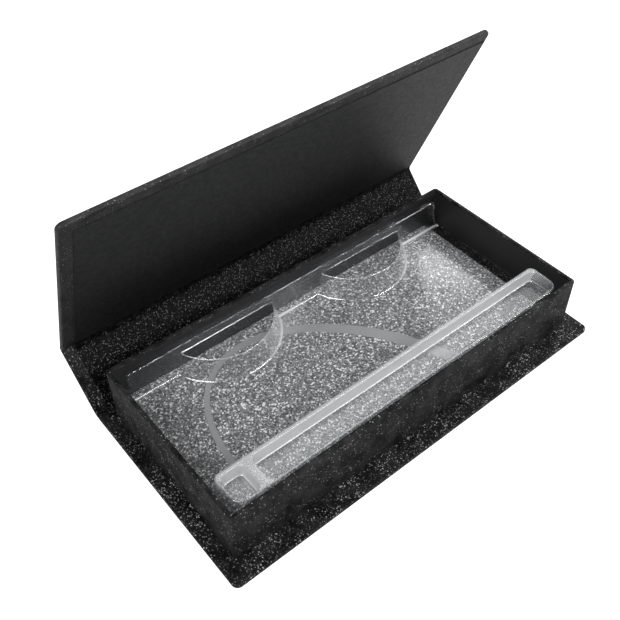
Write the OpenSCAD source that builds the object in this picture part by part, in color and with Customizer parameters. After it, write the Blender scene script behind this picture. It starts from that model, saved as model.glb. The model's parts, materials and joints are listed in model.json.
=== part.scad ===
// False eyelash case: a book-style rigid paper box with a clear formed insert.
// X runs along the case, +Y points to the spine, +Z is up.
// The origin is the centre of the underside of the base panel.

/* [Case] */
// Length of the case along X
case_l = 112; // [90:1:150]
// Width of the base panel from its free edge to the spine fold
case_w = 57; // [50:1:80]
// Thickness of the grey board in the base, the spine and the lid
board_t = 0.9; // [0.6:0.1:2]
// Thickness of the glitter paper that wraps the boards
wrap_t = 0.2; // [0.1:0.05:0.4]
// Thickness of the glitter paper that lines the lid and the spine
liner_t = 0.2; // [0.1:0.05:0.4]
// Border of the wrap that the liner leaves free at each end, when it is centred
liner_side = 1.9; // [1.6:0.1:4]
// How far the liner sheet was laid off centre, towards +X
liner_shift = 1.2; // [-1.6:0.1:1.6]
// Free border of the lid between the liner and the free edge
liner_front = 3.0; // [1:0.1:8]
// Radius of the free corners of the base and the lid, seen from above
panel_r = 1.6; // [0.8:0.1:4]
// Width of the wrap that is turned over onto the inner face of a board
turn_in = 9; // [6:0.5:14]
// Play between two boards at a fold when the case is shut
fold_play = 0.1; // [0.1:0.1:1]
// Space between the rim of the tray and the lid liner when the case is shut
lid_gap = 0.2; // [0.1:0.05:1]

/* [Opening] */
// Angle of the spine above the table: 90 is shut, 0 lies flat
spine_rise = 47; // [0:0.5:90]
// Turn of the lid at its fold: 90 is shut, 0 is in line with the spine
lid_turn = 66; // [0:0.5:90]

/* [Tray] */
// Free lip of the base panel at each end of the tray
side_lip = 3.8; // [2:0.1:6]
// Free lip of the base panel in front of the tray
front_lip = 5; // [3:0.1:8]
// Height of the tray above the base panel
tray_h = 15.4; // [13:0.2:30]
// Free lip of the base panel between the tray and the spine fold
back_lip = 3.2; // [2:0.1:6]
// Thickness of the board of the tray walls and bottom
wall_t = 0.8; // [0.6:0.1:1.6]
// Thickness of the smooth black paper inside the tray
lining_t = 0.15; // [0.1:0.05:0.3]
// Radius of the upright outer edges of the tray
tray_r = 1.0; // [0.6:0.1:2]
// Thickness of the paper tape round the corners of the tray
tape_t = 0.08; // [0.05:0.01:0.12]
// Length of the tape on each side of a corner
tape_l = 9; // [5:0.5:15]

/* [Raised floor and card] */
// Height of the top of the raised floor above the tray bottom board
floor_rise = 3.9; // [2:0.1:8]
// Thickness of the folded card of the raised floor
riser_t = 0.5; // [0.3:0.1:1]
// Thickness of the silver glitter card
card_t = 0.3; // [0.2:0.05:0.6]
// How much shorter the silver glitter card is than the raised floor
card_play = 3.1; // [0:0.1:8]
// Depth of the smooth arch that is pressed into the card
press_d = 0.08; // [0.02:0.01:0.15]
// Gap between loose pieces and the tray lining
loose_gap = 0.3; // [0.15:0.05:0.6]

/* [Clear insert] */
// Thickness of the clear formed sheet
sheet_t = 0.35; // [0.25:0.05:0.5]
// Height of the ledge and the front bar above the card
form_h = 8.9; // [6:0.1:12]
// Depth of the back ledge along Y, at its top
ledge_d = 1.9; // [1.4:0.1:4]
// How far the ledge leans out towards its foot
ledge_draft = 0.5; // [0.2:0.1:1.5]
// How far the ends of the ledge and the bar lean out towards their feet
end_draft = 1.6; // [0.6:0.1:2.5]
// Radius at which the sheet turns over the top edges of its forms
form_r = 0.5; // [0.4:0.05:0.8]
// Radius of the upright corners of the insert
insert_r = 4.5; // [2:0.1:8]
// Height of the two lash shelves above the card
shelf_h = 6.6; // [4:0.1:8]
// Radius of the curved edge of a lash shelf
shelf_r = 14.4; // [10:0.1:18]
// How far a lash shelf reaches in front of the ledge
shelf_reach = 9.5; // [6:0.1:13]
// Distance of the middle of each lash shelf from the middle of the case
shelf_x = 21.3; // [18:0.1:30]
// How far the skirt of a lash shelf leans out towards its foot
shelf_draft = 1.4; // [0.4:0.1:2.5]
// Width of the front bar along Y, at its top
bar_d = 9.4; // [7:0.1:14]
// How far the long sides of the front bar lean out towards their feet
bar_draft = 0.7; // [0.3:0.1:1.5]
// Width of the rim round the pockets of the front bar
rim_w = 1.1; // [0.9:0.1:2]
// Depth of the pockets of the front bar
pocket_d = 3.0; // [1.5:0.1:5]
// Length of the small pocket at the left end of the front bar
small_pocket_l = 5.6; // [4:0.1:14]
// Width of the divider between the two pockets
divider_w = 2.3; // [2:0.1:5]
// Radius of the corners of the pockets
pocket_r = 1.2; // [0.8:0.1:2.5]

/* [Magnets] */
// Diameter of the magnet discs
magnet_d = 8; // [5:0.5:9]
// Distance of each magnet from the middle of the case
magnet_x = 30; // [15:1:45]
// Distance from the rim of the tray to the edge of the front magnets
magnet_drop = 0.8; // [0.5:0.1:3]

/* [Hidden] */
$fn = 64;

// Play left between pieces that turn past each other at a fold
turn_gap = 0.03;
// Free paper on the spine side of each fold
spine_gap = 0.4;
// Overlap of a cutting shape past the face that it cuts
cut = 1;

black_glitter = [0.10, 0.10, 0.11];
grey_board = [0.55, 0.53, 0.50];
smooth_black = [0.05, 0.05, 0.05];
steel = [0.70, 0.70, 0.72];
silver_glitter = [0.62, 0.63, 0.65];
clear_sheet = [0.85, 0.90, 0.95, 0.45];
adhesive = [0.90, 0.88, 0.80];
tape = [0.75, 0.68, 0.55];

// Thickness of a wrapped panel, and its height to the liner face
panel_t = board_t + 2 * wrap_t;
lined_t = panel_t + liner_t;

// Free paper beside each fold, on the base and on the lid, where there is no board
fold_gap = lined_t - wrap_t + fold_play;

// Fold axes lie on the inner face of the outer paper
fold_y = case_w / 2 - wrap_t;
fold_z = wrap_t;
spine_span = panel_t + tray_h + lid_gap + lined_t - 2 * wrap_t;
lid_span = case_w - wrap_t;
board_half = case_l / 2 - wrap_t;
liner_l = case_l - 2 * liner_side;

// Tray, seen from above and from the side
tray_l = case_l - 2 * side_lip;
tray_w = case_w - front_lip - back_lip;
tray_y1 = case_w / 2 - back_lip;
tray_y0 = tray_y1 - tray_w;
tray_mid = (tray_y0 + tray_y1) / 2;
tray_z0 = panel_t;
tray_z1 = tray_z0 + tray_h;
skin_t = wrap_t + wall_t + lining_t;
room_l = tray_l - 2 * skin_t;
room_w = tray_w - 2 * skin_t;
bottom_z = tray_z0 + wall_t;

// Raised floor, card and insert
floor_z = bottom_z + floor_rise;
card_z = floor_z + card_t;
loose_l = room_l - 2 * loose_gap;
loose_w = room_w - 2 * loose_gap;
loose_y0 = tray_mid - loose_w / 2;
loose_y1 = tray_mid + loose_w / 2;
card_l = loose_l - card_play;
sheet_z = card_z + sheet_t;
form_z = card_z + form_h;
shelf_z = card_z + shelf_h;
ledge_y = loose_y1 - ledge_d;
shelf_y = ledge_y - shelf_reach + shelf_r;
bar_y0 = loose_y0 + bar_draft;
bar_y1 = bar_y0 + bar_d;
form_x = loose_l / 2 - end_draft;
divider_x = -form_x + rim_w + small_pocket_l;

// Edges of the pressed arch: cubic curves between round points on the card
arch_outer = [[-41.5, -19], [-46.5, 36.5], [5.5, 31.5], [21, -19]];
arch_inner = [[-39.5, -19], [-45.5, 33.5], [1.5, 29.5], [17.5, -19]];
arch_steps = 24;

// Parts of the rounded top edge of a form
edge_steps = 4;

magnet_z = tray_z1 - wrap_t - magnet_drop - magnet_d / 2;
magnet_u = fold_y - (tray_y0 + wrap_t + wall_t / 2);

// Point of a cubic curve that four points define
function curve(p, t) = pow(1 - t, 3) * p[0] + 3 * t * pow(1 - t, 2) * p[1]
    + 3 * t * t * (1 - t) * p[2] + pow(t, 3) * p[3];

// Plate with two rounded corners at its far end, from u0 to u1
module end_plate(half, u0, u1, r) {
    translate([-half, u0]) square([2 * half, u1 - r - u0]);
    translate([-half + r, u0]) square([2 * (half - r), u1 - u0]);
    for (s = [-1, 1]) translate([s * (half - r), u1 - r]) circle(r);
}

// Rectangle with four rounded corners, centred on X, from y0 to y1
module round_plate(half, y0, y1, r) {
    translate([-half, y0 + r]) square([2 * half, y1 - y0 - 2 * r]);
    translate([-half + r, y0]) square([2 * (half - r), y1 - y0]);
    for (s = [-1, 1]) for (y = [y0 + r, y1 - r]) translate([s * (half - r), y]) circle(r);
}

// Flat panel shapes start at their fold and run to their free edge along +Y
module panel_board(span) {
    translate([0, 0, wrap_t]) linear_extrude(board_t)
        end_plate(board_half, fold_gap, span - wrap_t, panel_r - wrap_t);
}

// Outer paper, folded round three edges of the board and turned in over it
module panel_wrap(span) {
    linear_extrude(wrap_t) end_plate(case_l / 2, 0, span, panel_r);
    difference() {
        linear_extrude(panel_t) end_plate(case_l / 2, fold_gap, span, panel_r);
        panel_board(span);
        translate([0, 0, wrap_t + board_t]) linear_extrude(wrap_t + cut)
            turned_opening(span);
    }
}

// Opening that the turned-in wrap leaves on the inner face
module turned_opening(span) {
    translate([-case_l / 2 + turn_in, fold_gap])
        square([case_l - 2 * turn_in, span - turn_in - fold_gap]);
}

// Liner sheet: it lies over the turned-in wrap and sinks onto the board between
module liner(u0, u1, u_sunk, shift = liner_shift) {
    translate([shift - liner_l / 2, u0, panel_t]) cube([liner_l, u1 - u0, liner_t]);
    translate([-case_l / 2 + turn_in, u0, wrap_t + board_t])
        cube([case_l - 2 * turn_in, u_sunk - u0, wrap_t + liner_t / 2]);
}

// Round bead of paper that lies in a fold
module fold_bead() {
    translate([-case_l / 2, 0, wrap_t]) rotate([0, 90, 0]) cylinder(h = case_l, r = wrap_t);
}

module in_base() {
    translate([0, fold_y, 0]) rotate([0, 0, 180]) children();
}

module in_spine() {
    translate([0, fold_y, fold_z]) rotate([spine_rise, 0, 0]) translate([0, 0, -fold_z])
        children();
}

module in_lid() {
    in_spine() translate([0, spine_span, fold_z]) rotate([lid_turn, 0, 0])
        translate([0, 0, -fold_z]) children();
}

// Base panel

module base_board() {
    color(grey_board) in_base() panel_board(lid_span);
}

module base_wrap() {
    color(black_glitter) in_base() {
        panel_wrap(lid_span);
        fold_bead();
    }
}

module tray_adhesive() {
    color(adhesive) in_base() translate([0, 0, wrap_t + board_t]) linear_extrude(wrap_t)
        intersection() {
            turned_opening(lid_span);
            translate([-case_l / 2, back_lip - wrap_t]) square([case_l, tray_w]);
        }
}

// Hem of the liner on the lip behind the tray
module base_liner() {
    color(black_glitter) in_base()
        liner(fold_gap, back_lip - wrap_t, back_lip - wrap_t, -liner_shift);
}

// Tray

// Walls of the tray, seen from above
module wall_ring() {
    difference() {
        tray_plan(wrap_t);
        translate([-room_l / 2 - lining_t, tray_y0 + wrap_t + wall_t])
            square([room_l + 2 * lining_t, room_w + 2 * lining_t]);
    }
}

module wall_height() {
    translate([0, 0, tray_z0]) linear_extrude(tray_h - wrap_t) children();
}

module tray_bottom() {
    color(grey_board) translate([0, 0, tray_z0]) linear_extrude(wall_t)
        translate([-room_l / 2 - lining_t, tray_y0 + wrap_t + wall_t])
            square([room_l + 2 * lining_t, room_w + 2 * lining_t]);
}

module long_wall(y) {
    wall_height() intersection() {
        wall_ring();
        translate([-tray_l / 2, y]) square([tray_l, wall_t]);
    }
}

// Two discs in the front wall, longer by over at each face
module front_discs(over = 0) {
    for (s = [-1, 1]) translate([s * magnet_x, tray_y0 + wrap_t - over, magnet_z])
        rotate([-90, 0, 0]) cylinder(h = wall_t + 2 * over, d = magnet_d);
}

module tray_front_wall() {
    color(grey_board) difference() {
        long_wall(tray_y0 + wrap_t);
        front_discs(cut);
    }
}

module tray_back_wall() {
    color(grey_board) long_wall(tray_y1 - wrap_t - wall_t);
}

module end_wall(x) {
    color(grey_board) wall_height()
        translate([x, tray_y0 + wrap_t + wall_t]) square([wall_t, room_w + 2 * lining_t]);
}

module tray_left_wall() {
    end_wall(-tray_l / 2 + wrap_t);
}

module tray_right_wall() {
    end_wall(tray_l / 2 - wrap_t - wall_t);
}

module front_magnets() {
    color(steel) front_discs();
}

// Outline of the tray, smaller all round by inset
module tray_plan(inset) {
    round_plate(tray_l / 2 - inset, tray_y0 + inset, tray_y1 - inset, tray_r - inset);
}

// Tape that holds two walls together at each corner, under the glitter paper
module corner_tapes() {
    color(tape) wall_height() difference() {
        intersection() {
            tray_plan(wrap_t - tape_t);
            for (x = [-1, 1]) for (y = [tray_y0, tray_y1])
                translate([x * tray_l / 2, y]) square(2 * tape_l, center = true);
        }
        tray_plan(wrap_t);
    }
}

// Glitter paper outside the walls and over the rim
module tray_wrap() {
    color(black_glitter) difference() {
        translate([0, 0, tray_z0]) linear_extrude(tray_h) tray_plan(0);
        translate([0, 0, tray_z0 - cut]) linear_extrude(tray_h - wrap_t + cut)
            tray_plan(wrap_t);
        translate([-room_l / 2 - lining_t, tray_y0 + wrap_t + wall_t, tray_z0 - cut])
            cube([room_l + 2 * lining_t, room_w + 2 * lining_t, tray_h + 2 * cut]);
        corner_tapes();
    }
}

// Smooth black paper on the inside of the four walls
module tray_lining() {
    color(smooth_black) translate([0, 0, bottom_z]) linear_extrude(tray_z1 - bottom_z)
        difference() {
            translate([-room_l / 2 - lining_t, tray_mid - room_w / 2 - lining_t])
                square([room_l + 2 * lining_t, room_w + 2 * lining_t]);
            translate([-room_l / 2, tray_mid - room_w / 2]) square([room_l, room_w]);
        }
}

// Folded card that carries the floor: a top with a leg at the front and the back
module floor_riser() {
    leg_h = floor_rise - wrap_t;
    color(grey_board) translate([-loose_l / 2, 0, bottom_z]) rotate([90, 0, 90])
        linear_extrude(loose_l) difference() {
            translate([loose_y0, 0]) square([loose_w, leg_h]);
            translate([loose_y0 + riser_t, -cut]) square([loose_w - 2 * riser_t,
                leg_h - riser_t + cut]);
        }
}

// Black glitter paper on the raised floor
module floor_paper() {
    color(black_glitter) translate([-loose_l / 2, loose_y0, floor_z - wrap_t])
        cube([loose_l, loose_w, wrap_t]);
}

// Arch that is pressed smooth in the face of the card
module pressed_arch() {
    steps = [0:1 / arch_steps:1];
    outer = [for (t = steps) curve(arch_outer, t)];
    inner = [for (t = steps) curve(arch_inner, 1 - t)];
    translate([0, 0, card_z - press_d]) linear_extrude(press_d + cut)
        polygon(concat(outer, inner));
}

// Silver glitter card, which is shorter than the floor and lies at its left end
module glitter_card() {
    color(silver_glitter) difference() {
        translate([-loose_l / 2, loose_y0, floor_z]) cube([card_l, loose_w, card_t]);
        pressed_arch();
    }
}

// Clear insert: one thin sheet, formed over the shapes below

// Rounded top edge at [edge, z1] of a side that leans out by draft over its height.
// The form lies before the edge, and the points run from the side to the top.
function top_edge(edge, z1, draft, height, r) = let (lean = atan(draft / height))
    [for (i = [0:edge_steps]) let (a = lean + (90 - lean) * i / edge_steps)
        [edge - r * tan(45 - lean / 2) + r * cos(a), z1 - r + r * sin(a)]];

// The same edge for a form that lies behind it, from the top to the side
function top_edge_back(edge, z1, draft, height, r) = let (p = top_edge(-edge, z1, draft,
    height, r)) [for (i = [edge_steps:-1:0]) [-p[i][0], p[i][1]]];

// Outline from a to b at the top that leans out to its foot and runs low below it
function leaning(a, b, before, after, z1, r, low) = concat([[a - before, card_z - low],
    [b + after, card_z - low], [b + after, card_z]],
    top_edge(b, z1, after, z1 - card_z, r), top_edge_back(a, z1, before, z1 - card_z, r),
    [[a - before, card_z]]);

// Bar along X whose long sides lean
module leaning_bar(y0, y1, front, back, z1, r, low) {
    translate([-loose_l / 2, 0, 0]) rotate([90, 0, 90]) linear_extrude(loose_l)
        polygon(leaning(y0, y1, front, back, z1, r, low));
}

// Space between two ends that lean
module leaning_ends(half, z1, r, low) {
    translate([0, loose_y1 + cut, 0]) rotate([90, 0, 0]) linear_extrude(loose_w + 2 * cut)
        polygon(leaning(-half, half, end_draft, end_draft, z1, r, low));
}

// Half-moon shelf with a curved leaning skirt
module shelf_form(s, inset, r, low) {
    foot_r = shelf_r + shelf_draft - inset;
    top = shelf_h - inset;
    translate([s * shelf_x, shelf_y, card_z]) rotate_extrude($fn = 96)
        polygon(concat([[0, -low], [foot_r, -low], [foot_r, 0]],
            top_edge(shelf_r - inset, top, shelf_draft, top, r), [[0, top]]));
}

// Pocket in the top of the bar, grown by the sheet for the underside
module pocket(x0, x1, grow) {
    translate([(x0 + x1) / 2, 0, form_z - pocket_d - grow]) linear_extrude(pocket_d + cut + grow)
        round_plate((x1 - x0) / 2 + grow, bar_y0 + rim_w - grow, bar_y1 - rim_w + grow,
            pocket_r + grow);
}

module pockets(grow) {
    pocket(-form_x + rim_w, divider_x, grow);
    pocket(divider_x + divider_w, form_x - rim_w, grow);
}

module foot_plan(inset) {
    round_plate(loose_l / 2 - inset, loose_y0 + inset, loose_y1 - inset, insert_r - inset);
}

// Everything that stands up from the floor of the insert. The inside of the sheet is
// the same form, smaller by inset, and it runs low below the floor so that it opens it.
module raised_forms(inset, low) {
    top = form_z - inset;
    r = form_r - inset;
    intersection() {
        translate([0, 0, card_z - low]) linear_extrude(form_h + low) foot_plan(inset);
        union() {
            intersection() {
                leaning_bar(ledge_y + inset, loose_y1 - inset, ledge_draft, 0, top, r, low);
                leaning_ends(form_x - inset, top, r, low);
            }
            difference() {
                intersection() {
                    leaning_bar(bar_y0 + inset, bar_y1 - inset, bar_draft, bar_draft, top,
                        r, low);
                    leaning_ends(form_x - inset, top, r, low);
                }
                pockets(inset);
            }
            intersection() {
                for (s = [-1, 1]) shelf_form(s, inset, r, low);
                translate([-loose_l / 2, loose_y0, card_z - low])
                    cube([loose_l, ledge_y + ledge_d / 2 - loose_y0, form_h]);
            }
        }
    }
}

module lash_insert() {
    color(clear_sheet) difference() {
        union() {
            translate([0, 0, card_z]) linear_extrude(sheet_t) foot_plan(0);
            raised_forms(0, 0);
        }
        raised_forms(sheet_t, cut);
    }
}

// Spine

module spine_board() {
    color(grey_board) in_spine() translate([-board_half, spine_gap, wrap_t])
        cube([2 * board_half, spine_span - 2 * spine_gap, board_t]);
}

module spine_wrap() {
    color(black_glitter) in_spine() {
        translate([-case_l / 2, wrap_t + turn_gap, 0])
            cube([case_l, spine_span - wrap_t - turn_gap, wrap_t]);
        translate([0, spine_span, 0]) fold_bead();
        difference() {
            translate([-case_l / 2, spine_gap, 0])
                cube([case_l, spine_span - 2 * spine_gap, panel_t]);
            translate([-board_half, 0, wrap_t]) cube([2 * board_half, spine_span, board_t]);
            translate([-case_l / 2 + turn_in, 0, 0])
                cube([case_l - 2 * turn_in, spine_span, panel_t + cut]);
        }
    }
}

module spine_liner() {
    color(black_glitter) in_spine()
        liner(spine_gap, spine_span - spine_gap, spine_span - spine_gap);
}

// Lid

// Two discs in the lid board, longer by over at each face
module lid_discs(over = 0) {
    for (s = [-1, 1]) translate([s * magnet_x, magnet_u, wrap_t - over])
        cylinder(h = board_t + 2 * over, d = magnet_d);
}

module lid_board() {
    color(grey_board) in_lid() difference() {
        panel_board(lid_span);
        lid_discs(cut);
    }
}

module lid_magnets() {
    color(steel) in_lid() lid_discs();
}

module lid_wrap() {
    color(black_glitter) in_lid() difference() {
        panel_wrap(lid_span);
        rotate([0, 90, 0]) translate([-wrap_t, 0, -case_l / 2 - cut])
            cylinder(h = case_l + 2 * cut, r = wrap_t + turn_gap);
    }
}

module lid_liner() {
    color(black_glitter) in_lid() liner(fold_gap, lid_span - liner_front, lid_span - turn_in);
}

base_board();
base_wrap();
base_liner();
tray_adhesive();
tray_bottom();
tray_front_wall();
tray_back_wall();
tray_left_wall();
tray_right_wall();
corner_tapes();
front_magnets();
tray_wrap();
tray_lining();
floor_riser();
floor_paper();
glitter_card();
lash_insert();
spine_board();
spine_wrap();
spine_liner();
lid_board();
lid_magnets();
lid_wrap();
lid_liner();
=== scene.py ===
"""False eyelash case, lying open: papers, clear insert, finishes and a plain stage."""

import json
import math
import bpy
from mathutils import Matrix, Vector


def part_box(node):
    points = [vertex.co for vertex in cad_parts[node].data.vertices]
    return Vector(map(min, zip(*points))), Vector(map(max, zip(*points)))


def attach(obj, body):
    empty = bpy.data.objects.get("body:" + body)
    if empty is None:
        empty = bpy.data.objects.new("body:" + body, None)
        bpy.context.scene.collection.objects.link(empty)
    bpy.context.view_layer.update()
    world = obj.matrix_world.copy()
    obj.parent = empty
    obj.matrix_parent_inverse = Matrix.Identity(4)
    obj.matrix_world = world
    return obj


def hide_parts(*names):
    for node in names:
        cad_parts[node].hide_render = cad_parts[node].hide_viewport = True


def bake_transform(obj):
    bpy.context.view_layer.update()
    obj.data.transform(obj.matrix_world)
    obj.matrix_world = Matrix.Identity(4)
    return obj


bl_info = {
    "name": "False Eyelash Case",
    "version": (1, 0, 0),
    "blender": (4, 5, 0),
    "location": "View3D > Sidebar > Lash Case",
    "description": "Builds the papers, clear insert and stage of a false eyelash case",
    "category": "Object",
}

import bmesh
import bpy
import numpy as np
from bpy.props import FloatProperty, FloatVectorProperty, PointerProperty
from mathutils import Matrix, Vector
from mathutils.geometry import delaunay_2d_cdt

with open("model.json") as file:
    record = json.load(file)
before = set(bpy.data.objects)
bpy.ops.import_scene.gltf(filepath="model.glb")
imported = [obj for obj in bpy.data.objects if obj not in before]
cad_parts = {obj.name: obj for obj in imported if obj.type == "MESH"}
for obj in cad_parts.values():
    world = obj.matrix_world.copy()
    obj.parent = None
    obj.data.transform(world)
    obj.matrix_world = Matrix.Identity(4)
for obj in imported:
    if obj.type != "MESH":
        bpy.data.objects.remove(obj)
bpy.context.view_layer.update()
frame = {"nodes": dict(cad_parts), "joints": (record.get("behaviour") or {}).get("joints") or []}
NODES = frame["nodes"]
JOINTS = {joint["name"]: joint for joint in frame["joints"]}

MM = 0.001
RIGHT_ANGLE = 90.0
ARC_STEPS = 6
BEND_STEPS = 10
WHITE = (1.0, 1.0, 1.0)

# Folds and rest angles
SPINE_FOLD = Vector(JOINTS["spine_fold"]["pos_m"])
LID_FOLD = Vector(JOINTS["lid_fold"]["pos_m"])
SPINE_RISE = math.radians(RIGHT_ANGLE + JOINTS["spine_fold"]["range_deg"][0])
LID_RISE = SPINE_RISE + math.radians(RIGHT_ANGLE + JOINTS["lid_fold"]["range_deg"][0])

# Panels
BASE_LOW, BASE_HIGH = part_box("base_wrap")
HALF_L = BASE_HIGH.x
WRAP_T = SPINE_FOLD.z
PANEL_T = BASE_HIGH.z
LINED_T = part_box("base_liner")[1].z
LINER_LOW, LINER_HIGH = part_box("lid_liner")
PANEL_SPAN = SPINE_FOLD.y - BASE_LOW.y
SPINE_SPAN = (LID_FOLD - SPINE_FOLD).length
FOLD_GAP = SPINE_FOLD.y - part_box("base_board")[1].y
LOW_BEND = 1.6 * MM

# Tray and insert
TRAY_LOW, TRAY_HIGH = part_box("tray_wrap")
LINING_LOW, LINING_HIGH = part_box("tray_lining")
INSERT_LOW, INSERT_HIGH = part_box("lash_insert")
CARD_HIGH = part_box("glitter_card")[1]

# Glitter: widths of the grains, height of the pile, half the depth of the pressed arch
GRAIN = 0.20 * MM
COARSE_GRAIN = 0.36 * MM
FINE_GRAIN = 0.22 * MM
PILE = 0.03 * MM
HALF_PRESS = 0.04 * MM

# Meshes: points this close are merged, and edges above this angle stay crisp
MERGE = 0.002 * MM
CRISP = math.radians(40.0)

# Stage: sensor in mm, lens shift in picture widths, clipping, floor, light all round
SENSOR = 36.0
LENS_SHIFT = (-0.0142, -0.0079)
NEAREST = 0.01
FLOOR_LEVEL = -0.02 * MM
SOFT_LIGHT = 0.22
# Each lamp: name, direction, distance, width, height, power
LAMPS = (
    ("lamp_left", (-0.75, -0.25, 0.75), 0.9, 0.55, 0.55, 6.0),
    ("lamp_back", (0.47, 0.44, 0.77), 0.8, 0.52, 0.52, 1.7),
    ("lamp_front", (0.45, -0.63, 0.62), 0.9, 0.6, 0.10, 5.0),
    ("lamp_right", (0.85, 0.10, 0.52), 0.9, 0.3, 0.3, 1.0),
)

# Insert, in millimetres: least divisor, merging distance, margin inside its outline
TINY = 1e-9
NEAR = 1e-4
EDGE_GUARD = 1e-3


def length(name, description, millimetres):
    """A size that a user may change."""
    return FloatProperty(name=name, description=description, default=millimetres * MM,
                         unit="LENGTH", precision=5)


def colour(name, description, default):
    """A colour that a user may change."""
    return FloatVectorProperty(name=name, description=description, default=default,
                               subtype="COLOR", size=3)


class CasePapers(bpy.types.PropertyGroup):
    """Sizes and colours of the wrapped panels and the tray."""

    corner_radius: length(
        "Corner radius", "Radius of the free corners of the base and the lid", 1.6)
    edge_radius: length(
        "Edge radius", "Radius at which the paper turns over the edge of a board", 0.42)
    turn_in: length(
        "Turn-in", "Width of the paper that is turned over onto the inner face", 9.0)
    spine_gap: length("Spine gap", "Free paper on the spine side of each fold", 0.4)
    liner_bend: length(
        "Liner bend", "Radius of the liner where it crosses an inner fold", 2.4)
    liner_front: length(
        "Liner border", "Free border between the liner and the lid's edge", 3.0)
    tray_corner: length(
        "Tray corner", "Radius of the upright outer edges of the tray", 1.0)
    rim_radius: length(
        "Rim radius", "Radius at which the paper turns over the rim of the tray", 0.4)
    rim_tuck: length(
        "Rim tuck", "How far the outer paper runs down inside the tray", 4.0)
    lining_t: length(
        "Lining thickness", "Thickness of the smooth paper inside the tray", 0.15)
    lining_drop: length(
        "Lining drop", "Distance from the rim down to the edge of the lining", 0.55)
    paper_colour: colour(
        "Glitter paper", "Ground colour of the glitter paper", (0.007, 0.007, 0.0075))
    # A lighter ground of the black glitter paper, for the lid and the tray walls: painted sheen
    # and light that fall on them.
    lit_paper_colour: colour(
        "Quiet paper", "Ground colour on the tray and the lid", (0.013, 0.013, 0.0135))
    # The liner over the spine and the base is the lid's liner paper made darker: painted shade.
    spine_shade_colour: colour(
        "Spine liner", "Ground colour of the liner on the spine", (0.002, 0.002, 0.002))
    liner_colour: colour(
        "Lid liner", "Ground colour of the paper inside the lid", (0.007, 0.007, 0.0075))
    lining_colour: colour(
        "Tray lining", "Colour of the paper inside the tray", (0.012, 0.012, 0.013))
    card_colour: colour(
        "Glitter card", "Ground colour of the silver glitter card", (0.30, 0.30, 0.305))


class InsertSizes(bpy.types.PropertyGroup):
    """Sizes of the clear formed insert."""

    sheet: length("Sheet", "Thickness of the clear sheet", 0.35)
    air: length("Air", "Air between the sheet and the card that it stands on", 0.04)
    corner: length("Corner", "Radius of the upright corners", 4.5)
    edge: length("Top edge", "Radius of the formed outer edges", 0.4)
    foot: length("Foot", "Radius where a wall meets the face below it", 0.6)
    end_draft: length("End draft", "Lean of the end walls", 1.6)
    front_draft: length("Front draft", "Lean of the long walls of the bar", 0.7)
    back_draft: length("Back draft", "Lean of the back wall of the ledge", 0.15)
    ledge_depth: length("Ledge depth", "Depth of the back ledge, with its back wall", 1.9)
    ledge_draft: length("Ledge draft", "Lean of the front wall of the ledge", 0.5)
    bar_depth: length("Bar depth", "Width of the front bar at its top", 9.4)
    rim: length("Rim", "Width of the rim round the pockets", 1.1)
    pocket_depth: length("Pocket depth", "Depth of the pockets of the bar", 3.0)
    pocket_draft: length("Pocket draft", "Lean of the pocket walls", 0.3)
    pocket_corner: length("Pocket corner", "Radius of the corners of the pockets", 1.4)
    small_pocket: length(
        "Small pocket", "Length of the pocket at the left end of the bar", 5.6)
    divider: length("Divider", "Width of the divider between the pockets", 2.3)
    shelf_height: length("Shelf height", "Height of the lash shelves above the card", 6.6)
    shelf_radius: length(
        "Shelf radius", "Radius of the curved edge of a lash shelf", 14.4)
    shelf_reach: length(
        "Shelf reach", "How far a shelf reaches in front of the ledge", 9.5)
    shelf_place: length(
        "Shelf place", "Distance of each shelf from the middle of the case", 21.3)
    shelf_draft: length("Shelf draft", "Lean of the curved skirt of a shelf", 1.4)


class StageLook(bpy.types.PropertyGroup):
    """Camera and floor."""

    camera_place: FloatVectorProperty(
        name="Camera", description="Where the camera stands",
        default=(-92.5 * MM, -99.03 * MM, 161.36 * MM), subtype="TRANSLATION", size=3)
    camera_turn: FloatProperty(
        name="Turn", description="Turn of the camera round the vertical",
        default=math.radians(-39.49), subtype="ANGLE")
    camera_drop: FloatProperty(
        name="Drop", description="Angle at which the camera looks down",
        default=math.radians(45.53), subtype="ANGLE")
    camera_roll: FloatProperty(
        name="Roll", description="Roll of the camera",
        default=math.radians(-0.11), subtype="ANGLE")
    lens: FloatProperty(
        name="Lens", description="Focal length on a 36 mm sensor", default=49.0)
    floor_size: FloatProperty(
        name="Floor", description="Width of the floor", default=6.0, unit="LENGTH")


class Signal:
    """One output of a shader node, which arithmetic turns into Math nodes."""

    def __init__(self, finish, socket):
        self.finish = finish
        self.socket = socket

    def math(self, operation, *terms):
        sockets = dict(enumerate(terms))
        return self.finish.node("Math", {"operation": operation}, sockets)

    def __add__(self, other):
        return self.math("ADD", self, other)

    def __radd__(self, other):
        return self.math("ADD", other, self)

    def __sub__(self, other):
        return self.math("SUBTRACT", self, other)

    def __rsub__(self, other):
        return self.math("SUBTRACT", other, self)

    def __mul__(self, other):
        return self.math("MULTIPLY", self, other)

    def __rmul__(self, other):
        return self.math("MULTIPLY", other, self)

    def __pow__(self, other):
        return self.math("POWER", self, other)

    def above(self, other):
        return self.math("GREATER_THAN", self, other)

    def largest(self, other):
        return self.math("MAXIMUM", self, other)

    def step(self, low, high):
        """0 below low, 1 above high, and a straight ramp between."""
        sockets = {"Value": self, "From Min": low, "From Max": high}
        return self.finish.node("MapRange", {"clamp": True}, sockets)

    def beside(self, output):
        """Another output of the same node, by its name or its number."""
        return Signal(self.finish, self.finish.entry(self.socket.node.outputs, output))


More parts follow.
